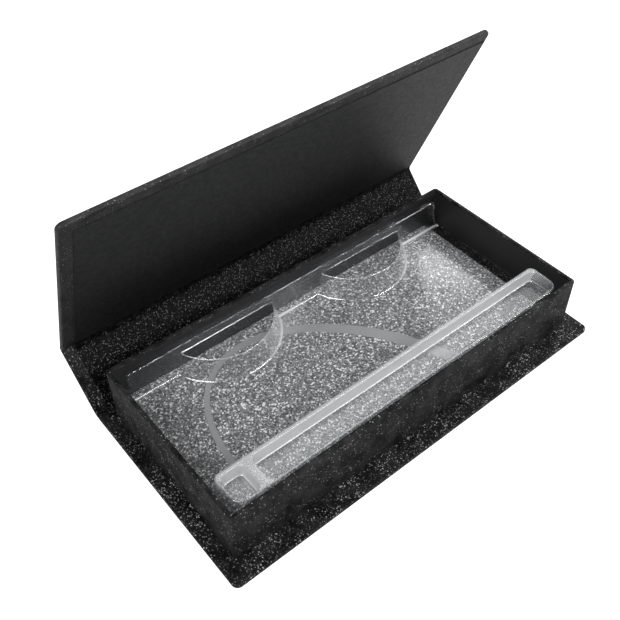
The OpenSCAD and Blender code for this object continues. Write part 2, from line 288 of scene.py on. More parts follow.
class Finish:
    """The node tree of one material or of the world."""

    def __init__(self, owner):
        owner.use_nodes = True
        self.owner = owner
        self.tree = owner.node_tree
        self.tree.nodes.clear()

    def node(self, kind, settings=None, sockets=None, output=0):
        """Adds a node, with its settings first, and returns one of its outputs."""
        node = self.tree.nodes.new("ShaderNode" + kind)
        for name, value in (settings or {}).items():
            setattr(node, name, value)
        for name, value in (sockets or {}).items():
            self.feed(self.entry(node.inputs, name), value)
        return Signal(self, self.entry(node.outputs, output)) if node.outputs else None

    def entry(self, ends, name):
        """An input or output by its number, or the enabled one that has a name."""
        if isinstance(name, int):
            return ends[name]
        for socket in ends:
            if name in (socket.identifier, socket.name) and socket.enabled:
                return socket
        raise KeyError(name)

    def feed(self, socket, value):
        """Links an output to an input, or sets the input's value."""
        if isinstance(value, Signal):
            self.tree.links.new(value.socket, socket)
        elif socket.type == "RGBA" and len(value) == 3:
            socket.default_value = (*value, 1.0)
        else:
            socket.default_value = value

    def mix(self, factor, first, second):
        """Colour mix of two colours or vectors."""
        sockets = {"Factor_Float": factor, "A_Color": first, "B_Color": second}
        return self.node("Mix", {"data_type": "RGBA"}, sockets, "Result_Color")

    def scaled(self, vector, factor):
        """A colour or vector times a number."""
        sockets = {"Vector": vector, "Scale": factor}
        return self.node("VectorMath", {"operation": "SCALE"}, sockets)

    def noise(self, place, scale, detail=2.0, **others):
        sockets = {"Vector": place, "Scale": scale, "Detail": detail, **others}
        return self.node("TexNoise", None, sockets)

    def bump(self, strength, distance, height, **others):
        sockets = {"Strength": strength, "Distance": distance, "Height": height, **others}
        return self.node("Bump", None, sockets)

    def principled(self, sockets):
        return self.node("BsdfPrincipled", None, sockets)

    def height_of(self, vector):
        """The Z part of a vector."""
        return self.node("SeparateXYZ", None, {0: vector}, "Z")

    def layered(self, share, under, over):
        """Mix of two shaders, with a share of the one that lies over the other."""
        return self.node("MixShader", None, {0: share, 1: under, 2: over})

    def surface(self, shader):
        """Ends the tree in its output, and returns the material or the world."""
        is_world = isinstance(self.owner, bpy.types.World)
        kind = "OutputWorld" if is_world else "OutputMaterial"
        self.node(kind, None, {"Surface": shader})
        return self.owner


def new_finish(name):
    """An empty material, and the place on the object that its textures follow."""
    finish = Finish(bpy.data.materials.new(name))
    return finish, finish.node("TexCoord", None, None, "Object")


def flakes(finish, size, place, seed=0.0):
    """Random cells of a given size: three random numbers for each cell."""
    cells = finish.node("TexVoronoi", {"voronoi_dimensions": "4D", "feature": "F1"},
                        {"Vector": place, "W": seed, "Scale": 1.0 / size}, "Color")
    red = finish.node("SeparateColor", None, {0: cells})
    return red, red.beside(1), red.beside(2)


def glitter_paper(name, ground, share, painted_glint_level, specular=0.15):
    """Black paper under fine glitter: dark grains, and a share of them painted bright as glints.
    """
    finish, place = new_finish(name)
    pick, light, tilt = flakes(finish, GRAIN, place)
    mottle = finish.noise(place, 320.0, 3.0)
    patch = finish.noise(place, 170.0)
    grain = finish.noise(place, 0.7 / GRAIN)
    # Painted glints: a share of the grains gets a bright base colour instead of reflecting a
    # lamp.
    painted_glint = pick.step(1.0 - share, 1.0 - 0.7 * share) * (light ** 2.0) * (
        patch.step(0.35, 0.6) * 0.85 + 0.15)
    dark = finish.scaled(ground, (0.4 + grain * 1.2) * mottle.step(0.3, 0.7) * 1.9)
    tint = finish.mix(painted_glint, dark, (painted_glint_level, painted_glint_level, painted_glint_level * 1.02))
    bump = finish.bump(0.55, PILE, grain * 0.6 + pick * 0.8)
    return finish.surface(finish.principled({
        "Base Color": tint, "Roughness": 0.65 - tilt * 0.12,
        "Specular IOR Level": specular, "Normal": bump}))


def liner_paper(look, name, specular):
    """The liner sheet: one paper, soft charcoal inside the lid, and over the spine and the base
    black from painted shade, with painted glints.
    """
    finish, place = new_finish(name)
    lid = finish.node("Attribute", {"attribute_name": "lid_share"}, None, "Fac")
    pick, light, _ = flakes(finish, GRAIN, place)
    mottle = finish.noise(place, 900.0, 3.0, Roughness=0.65)
    grain = finish.noise(place, 2600.0)
    # Painted glints over the spine and the base, and almost none inside the lid.
    painted_glint = pick.step(0.84, 0.88) * (light ** 2.0) * (1.0 - lid * 0.95)
    # The darker ground over the spine and the base is painted shade on the same liner paper.
    ground = finish.mix(lid, look.spine_shade_colour, look.liner_colour)
    dark = finish.scaled(ground, (0.5 + grain) * mottle.step(0.36, 0.66) * 1.9)
    tint = finish.mix(painted_glint, dark, (0.17, 0.17, 0.175))
    bump = finish.bump(0.5, PILE, grain * 0.7 + pick * 0.6)
    return finish.surface(finish.principled({
        "Base Color": tint, "Roughness": 0.62 - mottle * 0.2,
        "Specular IOR Level": specular, "Normal": bump}))


def smooth_paper(look):
    """Smooth black paper inside the tray."""
    finish, place = new_finish("tray_lining_paper")
    cloud = finish.noise(place, 140.0, 3.0)
    fibre = finish.noise(place, 3200.0)
    dark = finish.scaled(tuple(look.lining_colour), 0.6 + cloud * 0.8)
    return finish.surface(finish.principled({
        "Base Color": dark, "Roughness": 0.42 + cloud * 0.12,
        "Specular IOR Level": 0.4, "Normal": finish.bump(0.25, 0.01 * MM, fibre)}))


def silver_glitter(look):
    """Silver glitter card with painted white glints, smooth where an arch is pressed into it."""
    finish, place = new_finish("silver_glitter_card")
    pick, light, tilt = flakes(finish, COARSE_GRAIN, place)
    pick_2, light_2, _ = flakes(finish, FINE_GRAIN, place, 4.0)
    cloud = finish.noise(place, 180.0)
    pressed = 1.0 - finish.height_of(place).above(CARD_HIGH.z - HALF_PRESS)
    level = 0.06 + (light ** 2.0) * 1.2 + light_2 * 0.42 + cloud * 0.2
    # Painted glints: a share of the grains is mixed to white.
    painted_glint = pick.step(0.80, 0.84) * tilt.step(0.1, 0.4)
    bright = finish.mix(painted_glint, finish.scaled(tuple(look.card_colour), level), WHITE)
    smooth = tuple(1.3 * c for c in look.card_colour)
    flat = finish.node("NewGeometry", None, None, "True Normal")
    bump = finish.bump(0.6, 0.05 * MM, (pick + pick_2 * 0.5) * (1.0 - pressed),
                       Normal=flat)
    return finish.surface(finish.principled({
        "Base Color": finish.mix(pressed, bright, smooth), "Metallic": 0.25,
        "Roughness": 0.5 - tilt * 0.15, "Specular IOR Level": 0.5, "Normal": bump}))


def clear_sheet():
    """Thin clear formed sheet: soft gloss, and haze that is strongest on drawn walls, with
    painted highlights at feet and on the right of shelves.
    """
    finish, place = new_finish("clear_sheet")
    bump = finish.bump(0.04, 0.1 * MM, finish.noise(place, 60.0, 1.0))
    scuff = finish.noise(place, 700.0, 3.0)
    level = finish.height_of(finish.node("NewGeometry", None, None, "Normal"))
    flat = level.math("ABSOLUTE", level)
    edge = flat * (1.0 - flat) * 4.0
    facing = finish.node("LayerWeight", None, {"Blend": 0.5, "Normal": bump}, "Facing")
    # Haze of the walls, with painted highlights, from the mesh's attribute.
    haze_and_highlight = finish.node("Attribute", {"attribute_name": "haze_and_highlight"}, None, "Fac")
    haze_highlight_share = haze_and_highlight * (0.12 + (1.0 - flat) * 0.10)
    share = (0.024 + haze_highlight_share + (facing ** 4.0) * 0.12 + (edge ** 3.0) * 0.15
             + scuff.step(0.55, 0.8) * 0.01)
    gloss = finish.principled({
        "Base Color": (0.88, 0.89, 0.90), "Roughness": 0.06 + haze_and_highlight * 0.08 + scuff * 0.05,
        "IOR": 1.57, "Metallic": 0.95 - haze_and_highlight * 0.45, "Normal": bump})
    through = finish.node("BsdfTransparent", None, {"Color": (0.985, 0.988, 0.99)})
    return finish.surface(finish.layered(share, through, gloss))


def grey_board():
    """Solid grey board with short fibres."""
    finish, place = new_finish("grey_board")
    fibre = finish.noise(place, 1500.0, 4.0, Distortion=1.2)
    fleck = finish.noise(place, 420.0)
    tint = finish.mix(fibre.step(0.35, 0.7), (0.20, 0.19, 0.175), (0.34, 0.325, 0.30))
    spots = finish.mix(fleck.step(0.66, 0.72), tint, (0.12, 0.115, 0.11))
    return finish.surface(finish.principled({
        "Base Color": spots, "Roughness": 0.86 + fleck * 0.1,
        "Specular IOR Level": 0.25, "Normal": finish.bump(0.5, 0.05 * MM, fibre)}))


def grained(name, scale, detail, dark, light, roughness, spread, metallic=0.0):
    """Plain material whose colour and roughness follow one noise."""
    finish, place = new_finish(name)
    noise = finish.noise(place, scale, detail)
    return finish.surface(finish.principled({
        "Base Color": finish.mix(noise, dark, light), "Metallic": metallic,
        "Roughness": roughness + noise * spread}))


def adhesive_film():
    """Double-sided adhesive film with a faint scrim."""
    finish, place = new_finish("adhesive_film")
    scrim = finish.node("TexBrick", None, {
        "Vector": place, "Scale": 500.0, "Color1": (0.72, 0.70, 0.62),
        "Color2": (0.66, 0.64, 0.57), "Mortar": (0.52, 0.50, 0.44)})
    return finish.surface(finish.principled({
        "Base Color": scrim, "Roughness": 0.3 + finish.noise(place, 300.0) * 0.3}))


class Panel:
    """Axes of a flat panel: u leaves its fold, w runs from outer to inner face."""

    def __init__(self, fold, rise, side=1):
        self.along = Vector((0.0, math.cos(rise), math.sin(rise)))
        self.up = side * Vector((0.0, -math.sin(rise), math.cos(rise)))
        self.start = fold - self.up * WRAP_T
        self.start.x = 0.0

    def at(self, x, u, w):
        """A point of the panel in the shared frame."""
        return Vector((x, 0.0, 0.0)) + self.start + self.along * u + self.up * w

    def in_plane(self, u, w):
        """The same point seen along X, as (y, z)."""
        return tuple(self.at(0.0, u, w).yz)

    def rise(self, point):
        """How far a point is from the fold, along the panel."""
        return (point - self.start).dot(self.along)


BASE = Panel(SPINE_FOLD, math.pi, -1)
SPINE = Panel(SPINE_FOLD, SPINE_RISE)
SPINE_TOP = Panel(LID_FOLD, SPINE_RISE + math.pi, -1)
LID = Panel(LID_FOLD, LID_RISE)


def link(name, data, finish=None):
    """Puts a lamp, a camera or a mesh with its material into the scene."""
    thing = bpy.data.objects.new(name, data)
    bpy.context.scene.collection.objects.link(thing)
    if finish:
        data.materials.append(finish)
    return thing


def rework(mesh, operation):
    """Runs a bmesh operation on a mesh."""
    build = bmesh.new()
    build.from_mesh(mesh)
    operation(build)
    build.to_mesh(mesh)
    build.free()


def mesh_of(name, points, faces):
    """Smooth mesh with its steep edges kept crisp."""
    mesh = bpy.data.meshes.new(name)
    mesh.from_pydata([tuple(p) for p in points], [], faces)
    mesh.validate()
    rework(mesh, lambda b: bmesh.ops.remove_doubles(b, verts=b.verts, dist=MERGE))
    mesh.polygons.foreach_set("use_smooth", [True] * len(mesh.polygons))
    mesh.set_sharp_from_angle(angle=CRISP)
    return mesh


def even_normals(thing):
    """Large flat faces keep a flat shade beside rounded edges."""
    modifier = thing.modifiers.new("Even shading", "WEIGHTED_NORMAL")
    modifier.keep_sharp = True


def thicken(thing, thickness):
    """Gives an outer skin its thickness on the inside."""
    modifier = thing.modifiers.new("Sheet", "SOLIDIFY")
    modifier.thickness = thickness
    modifier.offset = -1.0


def arc(centre, radius, start, end, steps=ARC_STEPS):
    """Points of an arc in a plane, from one angle to another in degrees."""
    turns = [math.radians(start + (end - start) * i / steps) for i in range(steps + 1)]
    return [(centre[0] + radius * math.cos(t), centre[1] + radius * math.sin(t))
            for t in turns]


def edge_profile(look):
    """Section through a wrapped edge, as (distance from the edge, height)."""
    radius = look.edge_radius
    low = arc((radius, radius), radius, 270, 180)
    high = arc((radius, PANEL_T - radius), radius, 180, 90)
    return low + high + [(look.turn_in, PANEL_T)]


def free_outline(radius):
    """Three free sides of a panel: (corner centre or None, place, direction inwards)."""
    stations = [(None, (-HALF_L, FOLD_GAP), (1.0, 0.0))]
    for side, start, end in ((-1, 180, 90), (1, 90, 0)):
        centre = (side * (HALF_L - radius), PANEL_SPAN - radius)
        for place in arc((0.0, 0.0), 1.0, start, end):
            stations.append((centre, place, (side, 1)))
    stations.append((None, (HALF_L, FOLD_GAP), (-1.0, 0.0)))
    return stations


def inset_point(station, radius, distance):
    """A point of a rounded outline, moved inwards by a distance."""
    centre, place, inward = station
    if centre is None:
        return (place[0] + inward[0] * distance, place[1])
    left = radius - distance
    spoke = place if left > 0 else inward
    return (centre[0] + spoke[0] * left, centre[1] + spoke[1] * left)


def cover(name, panel, points, faces, finish):
    """Outer skin of a panel, with its largest face turned outwards, made thick."""
    thing = link(name, mesh_of(name, points, faces), finish)
    largest = max(thing.data.polygons, key=lambda face: face.area)
    if largest.normal.dot(-panel.up) < 0:
        thing.data.flip_normals()
    thicken(thing, WRAP_T)
    even_normals(thing)
    return thing


def wrapped_panel(name, panel, look, finish):
    """Paper folded over the three free edges of a board and turned in on its face."""
    profile, stations = edge_profile(look), free_outline(look.corner_radius)
    points = [panel.at(*inset_point(station, look.corner_radius, distance), height)
              for distance, height in profile for station in stations]
    count = len(stations)
    faces = [list(range(count))]
    for ring in range(len(profile) - 1):
        for i in range(count - 1):
            a = ring * count + i
            faces.append([a, a + count, a + count + 1, a + 1])
    return cover(name, panel, points, faces, finish)


def wrapped_spine(name, look, finish):
    """Paper of the spine, turned in over the board at both ends."""
    profile = edge_profile(look)
    section = [(-HALF_L + d, w) for d, w in reversed(profile)]
    section += [(HALF_L - d, w) for d, w in profile]
    points = [SPINE.at(x, u, w) for u in (look.spine_gap, SPINE_SPAN - look.spine_gap)
              for x, w in section]
    count = len(section)
    faces = [[i, i + 1, count + i + 1, count + i] for i in range(count - 1)]
    return cover(name, SPINE, points, faces, finish)


def sheet_across(name, upper, lower, low_x, high_x, finish):
    """A paper that runs along X, between two paths of (y, z) with as many points."""
    count = len(upper)
    points = [Vector((x, y, z)) for x in (low_x, high_x) for path in (upper, lower)
              for y, z in path]
    faces = []
    for i in range(count - 1):
        a, b, c, d = (path * count + i for path in range(4))
        faces += [[a, a + 1, c + 1, c], [b, d, d + 1, b + 1], [a, b, b + 1, a + 1],
                  [c, c + 1, d + 1, d]]
    faces += [[i, 2 * count + i, 3 * count + i, count + i] for i in (0, count - 1)]
    mesh = mesh_of(name, points, faces)
    rework(mesh, lambda b: bmesh.ops.recalc_face_normals(b, faces=b.faces))
    return link(name, mesh, finish)


def bend(thing, near, far, reach, level):
    """Bakes a paper's place into its mesh; the places on each side of the fold are worked out
    but not used.
    """
    near.at(0.0, reach, level)
    far.at(0.0, reach, level)
    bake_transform(thing)


def outer_fold(name, near, far, fold, near_u, far_u, finish):
    """The outer paper where it bends round a fold."""
    inside, inset, reach, close = 0.01 * MM, 0.12 * MM, 0.3 * MM, 0.3
    first = math.atan2(-near.up.z, -near.up.y)
    last = math.atan2(-far.up.z, -far.up.y)
    turn = math.degrees((last - first + math.pi) % (2 * math.pi) - math.pi)
    first = math.degrees(first)
    opposite = first + 2 * RIGHT_ANGLE
    paths = []
    for w, radius, start in ((0.0, WRAP_T, first), (WRAP_T, inside, opposite)):
        paths.append([near.in_plane(near_u, w), near.in_plane(near_u * close, w),
                      *arc(fold.yz, radius, start, start + turn, BEND_STEPS),
                      far.in_plane(far_u * close, w), far.in_plane(far_u, w)])
    thing = sheet_across(name, *paths, -HALF_L + inset, HALF_L - inset, finish)
    bend(thing, near, far, reach, 0.0)


def liner_curve(near, far, level, tangent):
    """The round bend of the liner over an inner fold, as points (y, z)."""
    first, last = near.at(0.0, tangent, level), far.at(0.0, tangent, level)
    angle = near.along.angle(far.along)
    from_axis = tangent - (level - WRAP_T) / math.tan(angle / 2)
    centre = first + near.up * (from_axis / math.tan((math.pi - angle) / 2))
    start, end = first - centre, last - centre
    swing = start.angle(end)
    points = []
    for i in range(BEND_STEPS + 1):
        share = i / BEND_STEPS
        spoke = (start * math.sin((1 - share) * swing)
                 + end * math.sin(share * swing)) / math.sin(swing)
        points.append((centre.y + spoke.y, centre.z + spoke.z))
    return points


def liner_sheet(name, near, far, near_u, far_u, tangent, shares, finish):
    """A part of the liner that crosses one inner fold."""
    guard, reach = 0.5 * MM, 2.6 * MM
    paths = []
    for w in (LINED_T, PANEL_T):
        paths.append([near.in_plane(near_u, w), near.in_plane(tangent + guard, w),
                      *liner_curve(near, far, w, tangent),
                      far.in_plane(tangent + guard, w),
                      far.in_plane(tangent + 6 * guard, w), far.in_plane(far_u, w)])
    thing = sheet_across(name, *paths, LINER_LOW.x, LINER_HIGH.x, finish)
    share = thing.data.attributes.new("lid_share", "FLOAT", "POINT")
    for vertex in thing.data.vertices:
        on_far = far.rise(vertex.co) > near.rise(vertex.co)
        share.data[vertex.index].value = shares[on_far]
    bend(thing, near, far, reach, LINED_T)
    return thing


def ring_sweep(name, low, high, radius, profile, finish, closed=False):
    """Sweeps a profile of (distance inwards, height) round a rounded rectangle."""
    stations = []
    for sx, sy, start in ((1, -1, 270), (1, 1, 0), (-1, 1, 90), (-1, -1, 180)):
        centre = (high[0] - radius if sx > 0 else low[0] + radius,
                  high[1] - radius if sy > 0 else low[1] + radius)
        for place in arc((0.0, 0.0), 1.0, start, start + RIGHT_ANGLE):
            stations.append((centre, place, (sx, sy)))
    points = [(*inset_point(station, radius, distance), height)
              for distance, height in profile for station in stations]
    count, rings = len(stations), len(profile)
    faces = []
    for ring in range(rings if closed else rings - 1):
        after = (ring + 1) % rings
        for i in range(count):
            j = (i + 1) % count
            faces.append([ring * count + i, ring * count + j, after * count + j,
                          after * count + i])
    return link(name, mesh_of(name, points, faces), finish)


def tray_paper(look, finish):
    """Glitter paper round the walls of the tray, over its rim and down inside."""
    clearance = 0.05 * MM
    skin = LINING_LOW.x - TRAY_LOW.x + clearance
    top, rim, inner = TRAY_HIGH.z, look.rim_radius, 0.15 * MM
    profile = [(0.0, TRAY_LOW.z)]
    profile += arc((rim, top - rim), rim, 180, 90)
    profile += arc((skin - inner, top - inner), inner, 90, 0)
    profile.append((skin, top - look.rim_tuck))
    thing = ring_sweep("tray_cover", TRAY_LOW, TRAY_HIGH, look.tray_corner, profile,
                       finish)
    thicken(thing, WRAP_T)
    even_normals(thing)
    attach(thing, "base")
    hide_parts("tray_wrap")


def lining_paper(look, finish):
    """Smooth paper inside the walls, which ends a little below the rim."""
    corner, crest = 0.5 * MM, 0.03 * MM
    low, top = LINING_LOW.z, LINING_HIGH.z - look.lining_drop
    profile = [(0.0, low), (0.0, top), (look.lining_t * 0.5, top + crest),
               (look.lining_t, top), (look.lining_t, low)]
    thing = ring_sweep("wall_lining", LINING_LOW, LINING_HIGH, corner, profile, finish,
                       closed=True)
    even_normals(thing)
    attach(thing, "base")
    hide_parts("tray_lining")


def rectangle_gap(x, y, form):
    """Distance outside a rectangle with its own radii at the front and the back."""
    x0, y0, x1, y1, front, back = form
    radius = np.where(y > (y0 + y1) / 2, back, front)
    across = np.abs(x - (x0 + x1) / 2) - (x1 - x0) / 2 + radius
    along = np.abs(y - (y0 + y1) / 2) - (y1 - y0) / 2 + radius
    outside = np.hypot(np.maximum(across, 0), np.maximum(along, 0))
    return outside + np.minimum(np.maximum(across, along), 0) - radius


def rounding(distance, radius):
    """Height that a round edge or foot takes up at a distance from its end."""
    rest = np.clip(radius - distance, 0, radius)
    return radius - np.sqrt(np.maximum(radius ** 2 - rest ** 2, 0))


def between(inside, outside):
    """0 on an inner outline, 1 on an outer one, from the distances to both."""
    return np.clip(inside / np.maximum(inside - outside, TINY), 0, 1)


class FormedSheet:
    """Heights of the clear insert over its plan, in millimetres.

    A form is a rectangle with rounded corners: x0, y0, x1, y1, front and back radius.
    """

    # How much the corners of the crown and of the bar differ from those of the foot
    CROWN_LESS, BAR_CORNER, BAR_FOOT_MORE = 1.0, 1.6, 0.8
    # Distances at which a round edge or foot gets points, from its end outwards
    LEVELS = (0.0, 0.02, 0.06, 0.12, 0.2, 0.3, 0.4, 0.5)
    CORNER_STEPS, SHELF_STEPS, LEAST_RADIUS = 10, 76, 0.02
    # Angles between which the curved edge of a shelf runs
    SHELF_ARC = (194, 346)
    # Haze of the bar: pocket floors, walls behind and between the pockets, the rest
    POCKET_HAZE, BAND_HAZE, RIM_HAZE = 0.3, 1.75, 0.5
    # Haze of the back: at a foot, the painted highlight added to it, shelf edge, painted
    # highlight on a shelf skirt
    FOOT_HAZE, FOOT_MORE, EDGE_HAZE, SKIRT_HAZE = 0.4, 2.4, 1.0, 1.8
    # Share of the most painted highlight that straight feet get, and parts of a foot and of an
    # edge
    STRAIGHT, FOOT_PART, EDGE_PART = 0.6, 0.7, 0.85
    # Heights that still count as pocket floor, card level and shelf top
    POCKET_SLACK, FLOOR_SLACK, SHELF_SLACK = 0.05, 0.02, 0.03

    def __init__(self, sizes):
        in_mm = {name: getattr(sizes, name) / MM for name in sizes.__annotations__}
        self.__dict__.update(in_mm)
        x0, y0, self.low = (c / MM for c in INSERT_LOW)
        x1, y1, self.top = (c / MM for c in INSERT_HIGH)
        corner, less = self.corner, self.corner - self.CROWN_LESS
        left, right = x0 + self.end_draft, x1 - self.end_draft
        front = y0 + self.front_draft
        back = front + self.bar_depth
        self.floor = self.low + self.sheet
        self.shelf_top = self.low + self.shelf_height
        self.outline = (x0, y0, x1, y1, corner, corner)
        self.crown = (left, front, right, y1 - self.back_draft, less, less)
        self.bar_top = (left, front, right, back, less, self.BAR_CORNER)
        self.bar_foot = (x0, y0, x1, back + self.front_draft, corner,
                         self.BAR_CORNER + self.BAR_FOOT_MORE)
        left, front, right, back = (left + self.rim, front + self.rim, right - self.rim,
                                    back - self.rim)
        split, radii = left + self.small_pocket, (self.pocket_corner, self.pocket_corner)
        self.pockets = ((left, front, split, back, *radii),
                        (split + self.divider, front, right, back, *radii))
        self.ledge_front = y1 - self.ledge_depth
        self.shelf_y = self.ledge_front - self.shelf_reach + self.shelf_radius

    def wall(self, share, top):
        """Height on a leaning wall, from the end of its round top edge to its foot."""
        return (top - self.edge) * (1 - share) + self.low * share

    def bar(self, x, y):
        """Height of the bar with its pockets, and the distance outside its foot."""
        inside = rectangle_gap(x, y, self.bar_top)
        outside = rectangle_gap(x, y, self.bar_foot)
        height = np.where(inside < 0, self.top - rounding(-inside, self.edge),
                          self.wall(between(inside, outside), self.top))
        for form in self.pockets:
            height = np.minimum(height, self.pocket(x, y, form))
        return height, outside

    def pocket(self, x, y, form):
        """Height inside a pocket and on its lip, and no limit elsewhere."""
        gap = rectangle_gap(x, y, form)
        bottom = self.top - self.pocket_depth
        lip = self.top - rounding(gap, self.edge)
        share = np.clip(-gap / self.pocket_draft, 0, 1)
        side = (self.top - self.edge) * (1 - share) + (bottom + self.foot) * share
        base = bottom + rounding(-gap - self.pocket_draft, self.foot)
        lower = np.where(-gap < self.pocket_draft, side, base)
        return np.where(gap > self.edge, np.inf, np.where(gap > 0, lip, lower))

    def shelf(self, x, y, side):
        """Height of a shelf, and the distance outside its foot."""
        radius = np.hypot(x - side * self.shelf_place, y - self.shelf_y)
        inside = radius - self.shelf_radius
        outside = inside - self.shelf_draft
        crown = self.shelf_top - rounding(-inside, self.edge)
        slope = self.wall(between(inside, outside), self.shelf_top)
        return np.where(inside < 0, crown, slope), outside

    def ledge(self, x, y, below):
        """Height of the ledge, and of the foot that it has on what lies in front."""
        ends = rectangle_gap(x, y, self.crown)
        edge = rectangle_gap(x, y, self.outline)
        front = self.ledge_front - y
        inside = np.maximum(ends, front)
        share = np.maximum(between(ends, edge), np.clip(front / self.ledge_draft, 0, 1))
        height = np.where(inside < 0, self.top - rounding(-inside, self.edge),
                          self.wall(share, self.top))
        meets = self.ledge_meets(below)
        return np.maximum(height, below + rounding(front - meets, self.foot)
                          * (front > meets))

    def ledge_meets(self, level):
        """Where the front wall of the ledge meets the foot that stands on a level."""
        wall_top = self.top - self.edge
        return (wall_top - level - self.foot) / (wall_top - self.low) * self.ledge_draft

    def height(self, x, y):
        """Height of the whole sheet."""
        forms, gap = self.bar(x, y)
        foot = rounding(np.maximum(gap, 0), self.foot)
        for side in (-1, 1):
            shelf, gap = self.shelf(x, y, side)
            foot = np.maximum(foot, rounding(np.maximum(gap, 0), self.foot))
            forms = np.maximum(forms, shelf)
        return self.ledge(x, y, np.maximum(self.floor + foot, forms))

    def haze_and_highlight(self, x, y, z):
        """Haze of the drawn walls, and painted highlights: most by the pockets, at feet and
        right of shelves.
        """
        if y < self.bar_foot[3]:
            small, long = self.pockets
            slope = self.pocket_draft + self.foot
            on_band = y > long[3] - slope or small[2] - slope < x < long[0] + slope
            if z < self.top - self.pocket_depth + self.POCKET_SLACK:
                return self.POCKET_HAZE
            return self.BAND_HAZE if on_band else self.RIM_HAZE
        across = x - math.copysign(self.shelf_place, x)
        reach = math.hypot(across, y - self.shelf_y)
        by_shelf = reach < self.shelf_radius + self.shelf_draft + self.foot
        # Share of painted highlight: grows towards the right of each shelf; straight feet get a
        # fixed share.
        right = (min(max(across / self.shelf_radius, 0.0), 1.0) if by_shelf
                 else self.STRAIGHT)
        above = z - self.floor
        # A foot: haze and a painted highlight line.
        if self.FLOOR_SLACK < above < self.FOOT_PART * self.foot:
            return self.FOOT_HAZE + self.FOOT_MORE * right
        on_ledge = y > self.ledge_front - self.ledge_meets(self.floor)
        below = self.shelf_top - z
        if on_ledge or not by_shelf or below < self.SHELF_SLACK:
            return 0.0
        if below < self.EDGE_PART * self.edge:
            return self.EDGE_HAZE
        # A shelf skirt: painted highlight towards its right.
        return self.SKIRT_HAZE * max(right - 0.1, 0.0)

    def ring(self, form, grow):
        """Closed outline round a form that is grown by a distance."""
        x0, y0, x1, y1, front, back = form
        points = []
        corners = ((1, y0, front, 270), (1, y1, back, 0), (-1, y1, back, 90),
                   (-1, y0, front, 180))
        for side, edge_y, radius, start in corners:
            centre = (x1 - radius if side > 0 else x0 + radius,
                      edge_y + radius if edge_y == y0 else edge_y - radius)
            points += arc(centre, max(radius + grow, self.LEAST_RADIUS), start,
                          start + RIGHT_ANGLE, self.CORNER_STEPS)
        return points

    def outlines(self):
        """The closed rings and the open lines that the mesh follows."""
        rings, lines = [self.ring(self.outline, 0.0)], []
        for gap in self.LEVELS:
            rings += [self.ring(self.bar_top, -gap), self.ring(self.crown, -gap),
                      self.ring(self.bar_foot, gap)]
            rings += [self.ring(pocket, grow) for pocket in self.pockets
                      for grow in (gap, -self.pocket_draft - gap)]
            for drop in (gap, -self.ledge_meets(self.floor) - gap):
                y = self.ledge_front + drop
                lines.append([(self.outline[0], y), (self.outline[2], y)])
            y = self.ledge_front - (self.ledge_meets(self.shelf_top) + gap)
            for middle in (-self.shelf_place, self.shelf_place):
                lines.append([(middle - self.shelf_radius, y),
                              (middle + self.shelf_radius, y)])
                lines += [arc((middle, self.shelf_y), radius, *self.SHELF_ARC,
                              self.SHELF_STEPS)
                          for radius in (self.shelf_radius - gap,
                                         self.shelf_radius + self.shelf_draft + gap)]
        return rings, lines

    def mesh(self, name):
        """Triangles between the outlines, raised to the formed height."""
        points, edges = [], []
        rings, lines = self.outlines()
        for number, path in enumerate(rings + lines):
            start = len(points)
            points += [Vector(p) for p in path]
            edges += [(start + i, start + i + 1) for i in range(len(path) - 1)]
            if number < len(rings):
                edges.append((len(points) - 1, start))
        flat, _, faces, *_ = delaunay_2d_cdt(points, edges, [], 0, NEAR)
        plan = np.array([(p.x, p.y) for p in flat])
        centres = np.array([plan[list(face)].mean(0) for face in faces])
        gaps = rectangle_gap(*centres.T, self.outline)
        solid = np.column_stack([plan, self.height(*plan.T)]) * MM
        build = bmesh.new()
        verts = [build.verts.new(p) for p in solid]
        for face, gap in zip(faces, gaps):
            if gap < -EDGE_GUARD:
                build.faces.new([verts[i] for i in face])
        loose = [v for v in build.verts if not v.link_faces]
        bmesh.ops.delete(build, geom=loose, context="VERTS")
        bmesh.ops.recalc_face_normals(build, faces=build.faces)
        mesh = bpy.data.meshes.new(name)
        build.to_mesh(mesh)
        build.free()
        # Haze and painted highlights of each point, for the clear sheet's material.
        haze_and_highlight = mesh.attributes.new("haze_and_highlight", "FLOAT", "POINT")
        for vertex in mesh.vertices:
            haze_and_highlight.data[vertex.index].value = self.haze_and_highlight(*(vertex.co / MM))
        mesh.polygons.foreach_set("use_smooth", [True] * len(mesh.polygons))
        return mesh


class LASHCASE_OT_wrapped_panels(bpy.types.Operator):
    """Glitter paper round the boards of the base, the spine and the lid"""

    bl_idname = "lashcase.wrapped_panels"
    bl_label = "Wrapped panels"

    def execute(self, context):
        look = context.scene.lash_case
        finish = glitter_paper("black_glitter_paper", tuple(look.paper_colour),
                               share=0.16, painted_glint_level=0.75)
        # The lid's wrap is the base's glitter paper with fewer glints and a lighter ground:
        # painted sheen.
        lid_lit_paper = glitter_paper("lid_glitter_paper", tuple(look.lit_paper_colour),
                              share=0.06, painted_glint_level=0.4, specular=0.45)
        base = wrapped_panel("base_cover", BASE, look, finish)
        spine = wrapped_spine("spine_cover", look, finish)
        lid = wrapped_panel("lid_cover", LID, look, lid_lit_paper)
        for thing, body in ((base, "base"), (spine, "spine"), (lid, "lid")):
            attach(thing, body)
            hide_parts(f"{body}_wrap")
        outer_fold("base_fold_paper", BASE, SPINE, SPINE_FOLD, FOLD_GAP, look.spine_gap,
                   finish)
        outer_fold("lid_fold_paper", SPINE_TOP, LID, LID_FOLD, look.spine_gap, FOLD_GAP,
                   finish)
        return {"FINISHED"}


